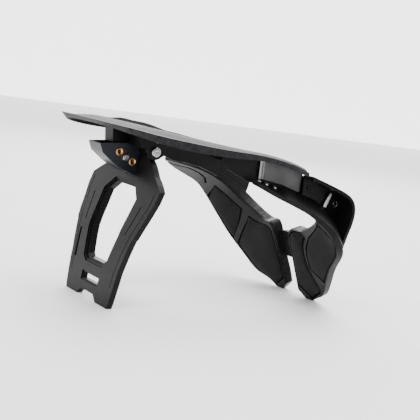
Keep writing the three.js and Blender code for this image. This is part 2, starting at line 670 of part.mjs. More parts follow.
for (const [side, word] of [[1, 'right'], [-1, 'left']]) {
  const plate = collarPiece(side * (SEAM + seamShare), side * frontEnd, 22).subtract(seamTrim);
  addPiece(`collar_side_plate_${word}`, plate, CARBON);
  addPiece(`neck_wall_${word}`, neckWall(side), NYLON);
  addPiece(`side_panel_${word}`, sidePanel(side), SATIN);
  addPiece(`chest_wing_${word}`, wing(side), NYLON);
  Object.keys(PADS[word]).forEach((name) => addPiece(`${name}_${word}`, pad(side, name), FOAM));
  addPiece(`front_shell_${word}`, frontShell(side), NYLON);
  addPiece(`front_pin_${word}`, frontPin(side), STEEL);
  addPiece(`pin_ring_${word}`, pinRing(side), STEEL);
  const [first, lock, second] = HUB_SCREWS;
  addPiece(`hub_insert_rear_${word}`, insert(side, first), BRASS);
  addPiece(`hub_insert_front_${word}`, insert(side, second), BRASS);
  const [lockY, lockZ] = [lock[0] * REACH, lock[1] * HEIGHT];
  addPiece(`lock_screw_${word}`, screw(side, lockY, lockZ, LOCK_HEAD, INSERT_BORE, HUB_HALF - 1, HUB_HALF - CHEEK), STEEL);
  const pivot = screw(side, PIVOT_Y, PIVOT_Z, PIVOT_HEAD, PIVOT_SHANK, EAR_OUTER + GAP, STRUT_TOP * 0.8);
  addPiece(`pivot_screw_${word}`, pivot, STEEL);
  [0.2, 0.65, 1.1].forEach((at, i) => addPiece(`wing_rivet_${word}_${i + 1}`, rivet(side, at), STEEL));
}

// The origin lies under the middle of the whole brace
const box = new THREE.Box3().setFromObject(brace);
brace.position.y = -(box.min.y + box.max.y) / 2;

export default brace;
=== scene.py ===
"""Looks for the neck brace: every visible plate, pad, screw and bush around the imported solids."""
import math

import bpy
from mathutils import Matrix, Vector
from mathutils.kdtree import KDTree


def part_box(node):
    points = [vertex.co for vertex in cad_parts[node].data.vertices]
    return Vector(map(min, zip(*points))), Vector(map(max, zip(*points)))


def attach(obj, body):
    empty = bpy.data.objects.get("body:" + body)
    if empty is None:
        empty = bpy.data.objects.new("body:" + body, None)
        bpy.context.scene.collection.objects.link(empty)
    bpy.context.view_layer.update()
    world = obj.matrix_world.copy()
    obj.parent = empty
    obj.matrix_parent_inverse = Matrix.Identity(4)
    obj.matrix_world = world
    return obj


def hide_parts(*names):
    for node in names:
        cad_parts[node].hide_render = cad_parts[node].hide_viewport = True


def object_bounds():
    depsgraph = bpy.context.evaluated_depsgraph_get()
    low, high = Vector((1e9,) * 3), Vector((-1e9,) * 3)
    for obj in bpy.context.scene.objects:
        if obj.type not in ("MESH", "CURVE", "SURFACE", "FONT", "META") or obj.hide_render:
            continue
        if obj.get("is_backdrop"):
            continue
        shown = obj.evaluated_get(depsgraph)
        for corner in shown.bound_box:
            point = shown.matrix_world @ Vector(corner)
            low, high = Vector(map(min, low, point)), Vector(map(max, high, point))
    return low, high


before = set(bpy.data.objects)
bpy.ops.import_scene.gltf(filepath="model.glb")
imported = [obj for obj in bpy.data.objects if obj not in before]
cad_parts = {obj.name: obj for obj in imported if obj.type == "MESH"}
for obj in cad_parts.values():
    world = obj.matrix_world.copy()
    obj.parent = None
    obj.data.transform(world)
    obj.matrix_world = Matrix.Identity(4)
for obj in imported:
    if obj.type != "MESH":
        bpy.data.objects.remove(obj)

solid_box = [list(corner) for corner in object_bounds()]

# Overall sizes in metres, and how far the pivot line lies from where the tables put it
HALF_WIDTH, REACH, HEIGHT = 0.110, 0.150, 0.170
PIVOT = (0.0, -0.092, 0.145)
low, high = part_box("pivot_screw_right")
SHIFT = (low[1] + high[1]) / 2 - PIVOT[1]
MM = 0.001

# The camera's place, its focal length and picture width in pixels, and the width of its sensor
CAMERA_AT, FOCAL_PIXELS, PICTURE_PIXELS, SENSOR = (0.820, -0.556, 0.2235), 1000, 420, 36

# Thicknesses, depths and half widths. SEAM is the collar section where the rear plate meets a side plate
PLATE, RIM_WALL, RIM_DEPTH, RIM_TUCK = 3.6 * MM, 2.6 * MM, 9 * MM, 7 * MM
HOLE_EDGE, CROWN, SEAM, NOTCH = 9 * MM, 3.5 * MM, 1.9, 2.2 * MM
# The turned-up edge of the neck hole: its height, and its width as a share of the section
LIP, LIP_SHARE = 5.5 * MM, 0.34
WALL_SETBACK, WALL, PANEL = 4.2 * MM, 3 * MM, 2.6 * MM
WING_THICKNESS = 15 * MM
SHELL = 3.2 * MM
STRUT, STRUT_TOP = 6 * MM, 31.5 * MM
HUB_HALF, CHEEK = 12 * MM, 3 * MM
# Gap between two pieces, and half the gap at a seam in collar sections of about 30 mm
GAP = 0.35 * MM
SEAM_SHARE = 0.35 / 2 / 30

# Collar sections: outer x, y, z, inner x, y, z, rim depth share
COLLAR = [
    (0.000, -0.987, 0.991, 0.000, -0.647, 0.962, 0.47),
    (0.364, -0.977, 0.990, 0.218, -0.627, 0.962, 0.51),
    (0.655, -0.927, 0.984, 0.400, -0.547, 0.951, 0.67),
    (0.845, -0.800, 0.966, 0.518, -0.413, 0.938, 0.80),
    (0.945, -0.613, 0.948, 0.573, -0.253, 0.917, 0.84),
    (0.982, -0.413, 0.932, 0.600, -0.080, 0.897, 0.72),
    (0.982, -0.187, 0.919, 0.609, 0.067, 0.880, 0.56),
    (0.945, -0.020, 0.900, 0.609, 0.187, 0.862, 0.53),
    (0.882, 0.167, 0.868, 0.609, 0.280, 0.842, 0.53),
    (0.800, 0.320, 0.831, 0.609, 0.353, 0.822, 0.49),
]
# Wing sections on the face that lies on the body: medial x, y, z, lateral x, y, z, thickness share
WING = [
    (0.718, -0.080, 0.747, 0.764, -0.053, 0.735, 0.33),
    (0.682, 0.040, 0.732, 0.836, 0.060, 0.688, 0.33),
    (0.673, 0.187, 0.706, 0.891, 0.187, 0.644, 0.40),
    (0.664, 0.313, 0.671, 0.927, 0.313, 0.594, 0.53),
    (0.645, 0.440, 0.612, 0.991, 0.440, 0.506, 0.80),
    (0.582, 0.547, 0.535, 0.964, 0.540, 0.394, 1.00),
    (0.318, 0.613, 0.447, 0.809, 0.600, 0.276, 1.00),
    (0.127, 0.607, 0.418, 0.664, 0.680, 0.165, 1.00),
    (0.100, 0.687, 0.247, 0.536, 0.747, 0.076, 0.87),
    (0.086, 0.747, 0.129, 0.391, 0.800, 0.035, 0.73),
    (0.082, 0.787, 0.050, 0.227, 0.830, -0.020, 0.60),
]
# Front shell round the collar's front corner: y, z, inner x, outer x
SHELL_BAND = [
    (0.345, 0.812, 0.690, 0.830), (0.490, 0.770, 0.690, 0.860), (0.600, 0.732, 0.690, 0.890),
    (0.655, 0.690, 0.690, 0.910), (0.668, 0.630, 0.700, 0.925), (0.645, 0.565, 0.720, 0.945),
    (0.618, 0.500, 0.750, 0.950), (0.608, 0.410, 0.800, 0.920), (0.612, 0.330, 0.790, 0.860),
]
# Side profile of the strut's outer face: y, z
STRUT_PROFILE = [
    (-0.853, 0.000), (-0.835, 0.125), (-0.820, 0.212), (-0.780, 0.385), (-0.722, 0.526),
    (-0.668, 0.658), (-0.644, 0.724), (-0.636, 0.800), (-0.636, 0.884),
]
# Half outlines of the strut seen from behind: x, z
STRUT_OUTLINE = [
    (0.000, 0.036), (0.112, 0.036), (0.175, 0.000), (0.385, 0.000), (0.398, 0.032), (0.420, 0.125),
    (0.435, 0.211), (0.466, 0.298), (0.498, 0.382), (0.515, 0.396), (0.543, 0.461), (0.568, 0.526),
    (0.595, 0.593), (0.596, 0.658), (0.523, 0.690), (0.431, 0.724), (0.370, 0.765), (0.330, 0.790),
]
STRUT_OPENING = [(0.138, 0.213), (0.170, 0.228), (0.232, 0.384), (0.242, 0.459), (0.257, 0.585), (0.160, 0.643)]
# Hub cheek seen from the side, and its three screw places: y, z
HUB_PROFILE = [
    (-0.630, 0.884), (-0.913, 0.865), (-0.887, 0.815), (-0.813, 0.766), (-0.747, 0.732), (-0.655, 0.703),
    (-0.640, 0.712),
]
HUB_SCREWS = [(-0.773, 0.827), (-0.727, 0.798), (-0.675, 0.777)]


# Camera first: the photograph's angle, with the object filling the same part of the frame
def place_camera():
    data = bpy.data.cameras.new("camera")
    data.sensor_width = SENSOR
    data.lens = SENSOR * FOCAL_PIXELS / PICTURE_PIXELS
    data.clip_end = 30
    camera = bpy.data.objects.new("camera", data)
    bpy.context.scene.collection.objects.link(camera)
    right, back = Vector((0.5417, 0.8307, 0.1286)), Vector((0.820, -0.556, 0.136)).normalized()
    right = (right - back * right.dot(back)).normalized()
    up = back.cross(right)
    turn = Matrix((right, up, back)).transposed().to_4x4()
    camera.matrix_world = Matrix.Translation((CAMERA_AT[0], CAMERA_AT[1] + SHIFT, CAMERA_AT[2])) @ turn
    bpy.context.scene.camera = camera


place_camera()


# Shaping helpers

def deselect():
    if bpy.context.object and bpy.context.object.mode != "OBJECT":
        bpy.ops.object.mode_set(mode="OBJECT")
    bpy.ops.object.select_all(action="DESELECT")


def pick(piece):
    deselect()
    bpy.context.view_layer.objects.active = piece
    piece.select_set(True)


def mix(a, b, share):
    return a + (b - a) * share


def row_at(table, at):
    """A row of a table read between its sections, along a smooth curve."""
    last = len(table) - 1
    i = min(max(math.floor(at), 0), last - 1)
    t = at - i
    a, b, d, e = (table[min(max(k, 0), last)] for k in (i - 1, i, i + 1, i + 2))
    return [q + 0.5 * t * (r - p + t * (2 * p - 5 * q + 4 * r - s + t * (3 * (q - r) + s - p)))
            for p, q, r, s in zip(a, b, d, e)]


def steps(start, end, count):
    return [mix(start, end, i / count) for i in range(count + 1)]


def place(side, x, y, z):
    return Vector((side * x * HALF_WIDTH, y * REACH + SHIFT, z * HEIGHT))


def loft(name, rings, closed=True):
    """A grid wrapped into a tube through rings of points, its ends filled."""
    rows, points = len(rings), len(rings[0])
    deselect()
    bpy.ops.mesh.primitive_grid_add(x_subdivisions=rows - 1, y_subdivisions=points, size=2, location=(0, 0, 0))
    piece = bpy.context.object
    piece.name = name
    for vertex in piece.data.vertices:
        i = round((vertex.co.x + 1) / 2 * (rows - 1))
        j = round((vertex.co.y + 1) / 2 * points) % points
        vertex.co = rings[i][j]
    bpy.ops.object.mode_set(mode="EDIT")
    bpy.ops.mesh.select_all(action="SELECT")
    bpy.ops.mesh.remove_doubles(threshold=1e-6)
    if closed:
        bpy.ops.mesh.fill_holes(sides=0)
    bpy.ops.mesh.select_all(action="SELECT")
    bpy.ops.mesh.normals_make_consistent(inside=False)
    bpy.ops.object.mode_set(mode="OBJECT")
    return piece


def prism(name, outline, axis, start, end):
    """An outline lifted along one axis."""
    def lift(point, level):
        full = list(point)
        full.insert(axis, level)
        return Vector(full)
    return loft(name, [[lift(p, level) for p in outline] for level in (start, end)])


def ribbon(line, width):
    """A narrow outline along a line."""
    left, right = [], []
    for i, spot in enumerate(line):
        before, after = Vector(line[max(i - 1, 0)]), Vector(line[min(i + 1, len(line) - 1)])
        along = (after - before).normalized()
        normal = Vector((-along.y, along.x)) * width / 2
        left.append(tuple(Vector(spot) + normal))
        right.append(tuple(Vector(spot) - normal))
    return left + right[::-1]


def put_on(piece, kind, **settings):
    """Adds a modifier and applies it."""
    pick(piece)
    modifier = piece.modifiers.new(kind.lower(), kind)
    for key, value in settings.items():
        setattr(modifier, key, value)
    bpy.ops.object.modifier_apply(modifier=modifier.name)


def join_to(piece, other, how="UNION", finishes="INDEX"):
    put_on(piece, "BOOLEAN", operation=how, object=other, solver="EXACT", material_mode=finishes)
    bpy.data.objects.remove(other, do_unlink=True)
    return piece


def cut(piece, other, floor=None):
    """Takes one shape out of a piece. A floor finish goes on the faces that the cut leaves: the near-black painted
    shade for groove, pocket and hollow floors.
    """
    if floor:
        other.data.materials.append(floor)
    return join_to(piece, other, "DIFFERENCE", "TRANSFER" if floor else "INDEX")


def soften(piece, width, segments=2, angle=32, smooth=40, edge=None):
    """Rounds the edges. An edge finish goes on the rounding alone: a lighter colour there, painted highlight along
    the edges.
    """
    slot = -1
    if edge:
        if not len(piece.data.materials):
            piece.data.materials.append(edge)
        piece.data.materials.append(edge)
        slot = len(piece.data.materials) - 1
    put_on(piece, "BEVEL", width=width, segments=segments, limit_method="ANGLE", angle_limit=math.radians(angle),
           use_clamp_overlap=True, harden_normals=False, material=slot)
    pick(piece)
    bpy.ops.object.shade_smooth_by_angle(angle=math.radians(smooth))
    put_on(piece, "WEIGHTED_NORMAL", keep_sharp=True)
    return piece


def circle(center, radius, normal, count=40):
    axis = Vector(normal).normalized()
    u = axis.orthogonal().normalized()
    v = axis.cross(u)
    return [Vector(center) + (u * math.cos(a) + v * math.sin(a)) * radius
            for a in (2 * math.pi * k / count for k in range(count))]


def turned(name, profile, start, axis, count=40):
    """A turned piece from radius and distance pairs along an axis."""
    axis = Vector(axis).normalized()
    rings = [circle(Vector(start) + axis * d, max(r, 2e-5), axis, count) for r, d in profile]
    return loft(name, rings)


def dress(piece, body, slot, material, *nodes):
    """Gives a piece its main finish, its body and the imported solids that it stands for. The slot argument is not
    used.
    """
    if len(piece.data.materials):
        piece.data.materials[0] = material
    else:
        piece.data.materials.append(material)
    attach(piece, body)
    if nodes:
        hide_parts(*nodes)
    return piece


# Finishes

def finish(name, color, light, roughness, spread=0.08, grain=1400, bump=0.15, depth=0.0002, patch=18,
           metallic=0.0, specular=0.5, sheen=0.0, second=None):
    """Moulded or machined surface: cloudy tone, uneven roughness and a fine grain in relief.

    The second relief is a coarser grain: its scale, strength and depth.
    """
    material = bpy.data.materials.new(name)
    material.use_nodes = True
    nodes, links = material.node_tree.nodes, material.node_tree.links
    shader = nodes["Principled BSDF"]
    shader.inputs["Metallic"].default_value = metallic
    shader.inputs["Specular IOR Level"].default_value = specular
    shader.inputs["Sheen Weight"].default_value = sheen
    place_on = nodes.new("ShaderNodeTexCoord")
    cloud = nodes.new("ShaderNodeTexNoise")
    cloud.inputs["Scale"].default_value = patch
    cloud.inputs["Detail"].default_value = 5
    links.new(place_on.outputs["Object"], cloud.inputs["Vector"])
    tone = nodes.new("ShaderNodeValToRGB")
    tone.color_ramp.elements[0].position = 0.35
    tone.color_ramp.elements[0].color = (*color, 1)
    tone.color_ramp.elements[1].position = 0.68
    tone.color_ramp.elements[1].color = (*light, 1)
    links.new(cloud.outputs["Fac"], tone.inputs["Fac"])
    links.new(tone.outputs["Color"], shader.inputs["Base Color"])
    fine = nodes.new("ShaderNodeTexNoise")
    fine.inputs["Scale"].default_value = grain
    fine.inputs["Detail"].default_value = 3
    links.new(place_on.outputs["Object"], fine.inputs["Vector"])
    rough = nodes.new("ShaderNodeMapRange")
    rough.inputs["To Min"].default_value = roughness - spread
    rough.inputs["To Max"].default_value = roughness + spread
    links.new(fine.outputs["Fac"], rough.inputs["Value"])
    links.new(rough.outputs["Result"], shader.inputs["Roughness"])
    relief = nodes.new("ShaderNodeBump")
    relief.inputs["Strength"].default_value = bump
    relief.inputs["Distance"].default_value = depth
    links.new(fine.outputs["Fac"], relief.inputs["Height"])
    if second:
        coarse = nodes.new("ShaderNodeTexVoronoi")
        coarse.inputs["Scale"].default_value = second[0]
        links.new(place_on.outputs["Object"], coarse.inputs["Vector"])
        deeper = nodes.new("ShaderNodeBump")
        deeper.inputs["Strength"].default_value = second[1]
        deeper.inputs["Distance"].default_value = second[2]
        links.new(coarse.outputs["Distance"], deeper.inputs["Height"])
        links.new(deeper.outputs["Normal"], relief.inputs["Normal"])
    links.new(relief.outputs["Normal"], shader.inputs["Normal"])
    return material


nylon = finish("black_nylon", (0.0030, 0.0030, 0.0032), (0.0060, 0.0060, 0.0064), 0.38, grain=1500, bump=0.22,
               specular=0.11)
# Lighter, glossier colour for the rounded edges: a painted highlight along them
painted_edge_highlight = finish("edge_painted_highlight", (0.060, 0.060, 0.062), (0.110, 0.110, 0.112), 0.28, grain=1300, bump=0.15,
                  patch=120, specular=0.6)
rough_nylon = finish("rough_nylon", (0.0015, 0.0015, 0.0015), (0.0090, 0.0090, 0.0090), 0.62, grain=900, bump=0.7,
                     depth=0.0004, patch=420, specular=0.12, second=(520, 0.5, 0.0005))
collar_skin = finish("collar_skin", (0.010, 0.010, 0.011), (0.015, 0.015, 0.016), 0.52, grain=2200, bump=0.12,
                     specular=0.09)
rim_skin = finish("collar_rim", (0.009, 0.009, 0.010), (0.020, 0.020, 0.022), 0.55, grain=1700, bump=0.35,
                  depth=0.0003, patch=240, specular=0.08)
hole_skin = finish("collar_hole_edge", (0.0030, 0.0030, 0.0035), (0.0060, 0.0060, 0.0065), 0.85, grain=1500, bump=0.3,
                   specular=0.02)
satin = finish("satin_grey", (0.050, 0.050, 0.052), (0.095, 0.095, 0.098), 0.34, grain=2600, bump=0.08, patch=38,
               metallic=0.2, specular=0.3)
# Much lighter satin for the side panel's rear strip: a painted highlight on its ridge
satin_painted_highlight = finish("satin_painted_highlight", (0.30, 0.30, 0.30), (0.38, 0.38, 0.38), 0.3, grain=2600, bump=0.08, patch=60,
                      metallic=0.3)
slate = finish("slate_housing", (0.008, 0.011, 0.015), (0.013, 0.017, 0.022), 0.34, grain=1500, bump=0.2,
               specular=0.20)
foam = finish("pad_foam", (0.0040, 0.0040, 0.0040), (0.0070, 0.0070, 0.0070), 0.85, grain=1300, bump=0.45,
              depth=0.0003, patch=60, specular=0.14, sheen=0.02, second=(900, 0.25, 0.0002))
steel = finish("screw_steel", (0.34, 0.34, 0.34), (0.52, 0.52, 0.51), 0.24, grain=1800, bump=0.08, metallic=1.0)
brass = finish("bush_brass", (0.58, 0.32, 0.13), (0.78, 0.47, 0.22), 0.26, grain=1800, bump=0.08, metallic=1.0)
# Near-black floor for grooves, pockets and the hub's hollow: painted shade in the recesses
groove_painted_shade = finish("groove_painted_shade", (0.0008, 0.0008, 0.0008), (0.0016, 0.0016, 0.0016), 0.7, grain=900, bump=0.2,
                      specular=0.05)


def tint(piece, materials, choose):
    """Gives each face of a piece the finish that the choice names by its place and direction."""
    first = len(piece.data.materials) - 1
    for material in materials:
        piece.data.materials.append(material)
    for face in piece.data.polygons:
        zone = choose(face.center, face.normal)
        if zone:
            face.material_index = first + zone


# Collar plates

def collar_section(station):
    """One section of the collar, from the neck hole at share 0 to the outer edge at share 1.

    Stations run from 0 behind to the last row in front, and are negative on the left.
    """
    side = -1 if station < 0 else 1
    ox, oy, oz, ix, iy, iz, rim = row_at(COLLAR, abs(station))
    outer, inner = place(side, ox, oy, oz), place(side, ix, iy, iz)
    across = math.hypot(outer.x - inner.x, outer.y - inner.y)

    # The neck hole's edge turns up behind and runs out to the front
    lip = LIP * (1 + math.cos(math.pi * min(1, max(0, abs(station) - 0.6) / 2.6))) / 2

    def top(share):
        crown = CROWN * math.sin(math.pi * share * 1.25) if share < 0.8 else 0
        roll = lip * (1 + math.cos(math.pi * share / LIP_SHARE)) / 2 if share < LIP_SHARE else 0
        return mix(inner.z, outer.z, share) + crown + roll

    def point(share, z):
        return Vector((mix(inner.x, outer.x, share), mix(inner.y, outer.y, share), z))

    tuck = RIM_TUCK * (1 - abs(station) / (len(COLLAR) - 1)) / across
    return across, top, point, rim * RIM_DEPTH, tuck


def collar_ring(station):
    across, top, point, rim, tuck = collar_section(station)
    wall = RIM_WALL / across
    ring = [point(s, top(s)) for s in steps(0, 1, 26)]
    ring.append(point(1 - tuck, top(1) - rim))
    ring.append(point(1 - wall - tuck, top(1) - rim))
    ring += [point(s, top(s) - PLATE) for s in steps(1 - wall - tuck, wall, 9)]
    ring += [point(wall, top(0) - HOLE_EDGE), point(0, top(0) - HOLE_EDGE)]
    return ring


def collar_plate(name, start, end, count):
    piece = loft(name, [collar_ring(s) for s in steps(start, end, count)])
    for side in (-1, 1):
        _, top, point, _, _ = collar_section(side * SEAM)
        x, y, z = point(1, top(1))
        outline = [(x - NOTCH, y), (x, y - NOTCH), (x + NOTCH, y), (x, y + NOTCH)]
        cut(piece, prism("notch", outline, 2, z - RIM_DEPTH * 2, z + CROWN))
    return soften(piece, 0.8 * MM, 3, angle=38)


def collar_tree():
    """The collar's top as spots to look up, with the share across of each."""
    spots, shares = [], []
    for station in steps(1 - len(COLLAR), len(COLLAR) - 1, 200):
        _, top, point, _, _ = collar_section(station or 1e-4)
        for share in steps(0, 1, 24):
            spots.append(point(share, top(share)))
            shares.append(share)
    tree = KDTree(len(spots))
    for i, spot in enumerate(spots):
        tree.insert(spot, i)
    tree.balance()
    return tree, shares


COLLAR_TREE, COLLAR_SHARES = collar_tree()


def collar_zone(center, normal):
    """0 is the top skin, 1 the turned-down rim, 2 the rolled edge of the neck hole and the underside."""
    share = COLLAR_SHARES[COLLAR_TREE.find(center)[1]]
    if share > 0.97 or (share > 0.88 and normal.z < 0.8):
        return 1
    return 2 if share < 0.45 or normal.z < -0.2 else 0


rear = collar_plate("collar_rear_plate_skin", -SEAM + SEAM_SHARE, SEAM - SEAM_SHARE, 44)
dress(rear, "brace", "collar_plate", collar_skin, "collar_rear_plate")
tint(rear, (rim_skin, hole_skin), collar_zone)
for side, word in ((1, "right"), (-1, "left")):
    plate = collar_plate("collar_side_plate_skin_" + word, side * (SEAM + SEAM_SHARE), side * (len(COLLAR) - 1), 66)
    dress(plate, "brace", "collar_plate", collar_skin, "collar_side_plate_" + word)
    tint(plate, (rim_skin, hole_skin), collar_zone)


# Chest wings and pads

def wing_frame(side, at):
    """The medial and lateral edge, the direction into the frame and the thickness at a place along the wing."""
    row = row_at(WING, at)
    medial, lateral = place(side, *row[0:3]), place(side, *row[3:6])
    ahead, behind = row_at(WING, min(at + 0.1, len(WING) - 1)), row_at(WING, max(at - 0.1, 0))

    def middle(r):
        return place(side, r[0], r[1], r[2]) + place(side, r[3], r[4], r[5])

    along = middle(ahead) - middle(behind)
    normal = (lateral - medial).cross(along) * side
    return medial, lateral, normal.normalized(), row[6] * WING_THICKNESS


def wing_point(side, at, across, depth):
    medial, lateral, normal, _ = wing_frame(side, at)
    return medial.lerp(lateral, across) + normal * depth


def wing_body(side, name):
    rings = []
    for at in steps(0, len(WING) - 1, 90):
        medial, lateral, normal, thickness = wing_frame(side, at)
        span = (lateral - medial).length
        chamfer = min(2.2 * MM, thickness * 0.3)
        edge = max(thickness * 0.45, 4 * MM)
        ring = [(0, chamfer), (chamfer / span, 0), (0.2, 0), (0.4, 0), (0.6, 0), (0.8, 0), (1, 0), (1, edge),
                (0.8, mix(edge, thickness, 0.45)), (0.55, thickness * 0.9), (0.3, thickness),
                (chamfer / span, thickness), (0, thickness - chamfer)]
        rings.append([wing_point(side, at, across, depth) for across, depth in ring])
    return loft(name, rings)


def edge_at(line, share):
    """The point a share of the way along a line of section numbers and shares across."""
    span = share * (len(line) - 1)
    i = min(int(span), len(line) - 2)
    return [mix(line[i][k], line[i + 1][k], span - i) for k in (0, 1)]


def wing_patch(side, name, edges, start, end, margin=0.0, crown=0.0, count=26, across_count=14):
    """A patch of the wing's body side between a medial and a lateral line."""
    spots = []
    for s in steps(0, 1, count):
        near, far = edge_at(edges[0], s), edge_at(edges[1], s)
        spots.append([[mix(near[0], far[0], t), mix(near[1], far[1], t)] for t in steps(0, 1, across_count)])
    middle = [sum(p[k] for row in spots for p in row) / (len(spots) * (across_count + 1)) for k in (0, 1)]
    rings = []
    for s, row in zip(steps(0, 1, count), spots):
        lower, upper = [], []
        for (at, across), t in zip(row, steps(0, 1, across_count)):
            medial, lateral, _, _ = wing_frame(side, at)
            step = (wing_point(side, at + 0.1, across, 0) - wing_point(side, at, across, 0)).length * 10
            at += (2 * s - 1) * margin / step
            across += (2 * t - 1) * margin / (lateral - medial).length
            swell = crown * (1 - abs(2 * s - 1) ** 5) * (1 - abs(2 * t - 1) ** 5)
            lower.append(wing_point(side, at, across, start - swell))
            upper.append(wing_point(side, at, across, end))
        rings.append(lower + upper[::-1])
    return loft(name, rings)


# Pad edges on each side: the medial line, then the lateral line, as section number and share across
PADS = {
    "left": {
        "shoulder_pad": ([(3.75, 0.43), (4.6, 0.32), (5.32, 0.26)], [(4.15, 0.95), (5.1, 0.95), (6.2, 0.95)]),
        "chest_pad": ([(5.75, 0.26), (6.5, 0.15), (7.2, 0.09), (8.3, 0.08), (9.3, 0.16)],
                      [(6.6, 0.94), (7.3, 0.94), (8.0, 0.94), (8.7, 0.92), (9.4, 0.87)]),
    },
    "right": {
        "shoulder_pad": ([(5.0, 0.14), (5.9, 0.23), (7.3, 0.63)], [(4.4, 0.94), (5.6, 0.94), (7.0, 0.94)]),
        "chest_pad": ([(6.3, 0.07), (7.4, 0.08), (8.4, 0.09), (9.3, 0.14)],
                      [(6.2, 0.16), (7.5, 0.55), (7.75, 0.90), (9.4, 0.86)]),
    },
}


# Grooves in the wing frames: section number and share across along each, then its width
WING_GROOVES = {
    "left": [([(0.15, 0.95), (1.0, 0.50), (1.6, 0.30), (2.3, 0.34), (2.95, 0.45), (3.3, 0.66)], 2.6 * MM),
             ([(6.85, 0.97), (6.95, 0.80)], 1.2 * MM)],
    "right": [([(7.3, 0.02), (6.9, 0.08), (6.5, 0.20)], 1.6 * MM),
              ([(4.85, 0.06), (4.5, 0.40), (4.35, 0.62), (4.75, 0.66)], 1.8 * MM),
              ([(9.45, 0.40), (9.2, 0.62)], 1.2 * MM)],
}


def wing_groove(side, line, width):
    """A groove sunk into the wing's body side along a line of section numbers and shares across."""
    rings = []
    for s in steps(0, 1, 6 * (len(line) - 1)):
        at, across = edge_at(line, s)
        ahead, behind = edge_at(line, min(s + 0.02, 1)), edge_at(line, max(s - 0.02, 0))
        along = (wing_point(side, *ahead, 0) - wing_point(side, *behind, 0)).normalized()
        normal = wing_frame(side, at)[2]
        half = along.cross(normal).normalized() * width / 2
        spot = wing_point(side, at, across, 0)
        rings.append([spot + half - normal * 2 * MM, spot + half * 0.8 + normal * 1.6 * MM,
                      spot - half * 0.8 + normal * 1.6 * MM, spot - half - normal * 2 * MM])
    return loft("groove", rings)


def medial_face(side):
    """Picks the faces on the wing's medial edge."""
    spots = [wing_frame(side, at) for at in steps(0, len(WING) - 1, 60)]

    def choose(center, normal):
        medial, lateral, _, _ = min(spots, key=lambda f: (f[0] - center).length_squared)
        return 1 if normal.dot((medial - lateral).normalized()) > 0.5 else 0
    return choose


def floor_cut(piece):
    """Takes off what would reach below the floor."""
    block = prism("block", [(-0.2, -0.3), (0.2, -0.3), (0.2, 0.3), (-0.2, 0.3)], 2, -0.05, 0.0)
    return cut(piece, block)


# How deep a pocket is and how far it stands clear of its pad, and the pad's start, depth and crown
POCKET, POCKET_CLEAR = 4.6 * MM, 2.0 * MM
PAD_START, PAD, PAD_CROWN = -0.2 * MM, 4 * MM, 1.2 * MM

for side, word in ((1, "right"), (-1, "left")):
    wing = wing_body(side, "chest_wing_frame_" + word)
    wing.data.materials.append(nylon)
    # The pockets round the pads and the grooves get a near-black floor: painted shade
    for edges in PADS[word].values():
        cut(wing, wing_patch(side, "pocket", edges, -6 * MM, POCKET, margin=POCKET_CLEAR), groove_painted_shade)
    for line, width in WING_GROOVES[word]:
        cut(wing, wing_groove(side, line, width), groove_painted_shade)
    floor_cut(wing)
    # The rounded edges get the lighter edge colour, a painted highlight
    soften(wing, 0.7 * MM, 2, angle=35, edge=painted_edge_highlight)
    dress(wing, "brace", "frame_nylon", nylon, "chest_wing_" + word)
    tint(wing, (rough_nylon,), medial_face(side))
    for name, edges in PADS[word].items():
        pad = wing_patch(side, name + "_foam_" + word, edges, PAD_START, PAD, crown=PAD_CROWN)
        floor_cut(pad)
        soften(pad, 1.2 * MM, 3, angle=40, smooth=60)
        dress(pad, "brace", "pad_foam", foam, name + "_" + word)


# Neck walls and side panels

# Foot of the neck wall: y, z
WALL_FOOT = [(-0.310, 0.900), (-0.267, 0.862), (-0.193, 0.812), (-0.047, 0.758), (0.040, 0.752), (0.187, 0.730),
             (0.313, 0.692), (0.400, 0.650)]


def wall_foot(y):
    if y <= WALL_FOOT[0][0]:
        return WALL_FOOT[0][1] * HEIGHT
    for (y0, z0), (y1, z1) in zip(WALL_FOOT, WALL_FOOT[1:]):
        if y <= y1:
            return mix(z0, z1, (y - y0) / (y1 - y0)) * HEIGHT
    return WALL_FOOT[-1][1] * HEIGHT


def wall_ring(side, station, start, end, foot_lift):
    """A section of an upright sheet under the collar, between two distances from the neck hole's edge."""
    across, top, point, _, _ = collar_section(side * station)
    a, b = start / across, end / across
    foot = wall_foot((point(a, 0).y - SHIFT) / REACH) + foot_lift
    head = PLATE + GAP
    return [point(a, top(a) - head), point(b, top(b) - head), point(b, foot), point(a, foot)]


# Collar stations that the wall and its panel run between, and the end of the panel's rear strip with a painted
# highlight
WALL_SPAN, PANEL_SPAN, HIGHLIGHT_STRIP = (4.15, 8.98), (5.8, 8.75), 0.05
PANEL_START = WALL_SETBACK + WALL + GAP

for side, word in ((1, "right"), (-1, "left")):
    rings = [wall_ring(side, s, WALL_SETBACK, WALL_SETBACK + WALL, -2 * MM) for s in steps(*WALL_SPAN, 60)]
    wall = soften(loft("neck_wall_skin_" + word, rings), 0.5 * MM, 2)
    dress(wall, "brace", "frame_nylon", nylon, "neck_wall_" + word)
    rings = []
    for s in steps(0, 1, 120):
        # A raised ridge at the rear end, then a groove
        thick = 1.4 if 0.005 < s < 0.045 else 0.5 if s < 0.075 else 1.0
        rings.append(wall_ring(side, mix(*PANEL_SPAN, s), PANEL_START, PANEL_START + PANEL * thick, 3 * MM))
    panel = soften(loft("side_panel_skin_" + word, rings), 0.4 * MM, 2)
    dress(panel, "brace", "satin_panel", satin, "side_panel_" + word)
    # The panel's rear strip, up to this ring, gets the lighter satin: a painted highlight on the ridge
    strip = wall_ring(side, mix(*PANEL_SPAN, HIGHLIGHT_STRIP), WALL_SETBACK + WALL, WALL_SETBACK + WALL + PANEL, 3 * MM)
    highlight_strip_end = max(point.y for point in strip)
    tint(panel, (satin_painted_highlight,), lambda center, normal: 1 if center.y < highlight_strip_end else 0)


# Front shells

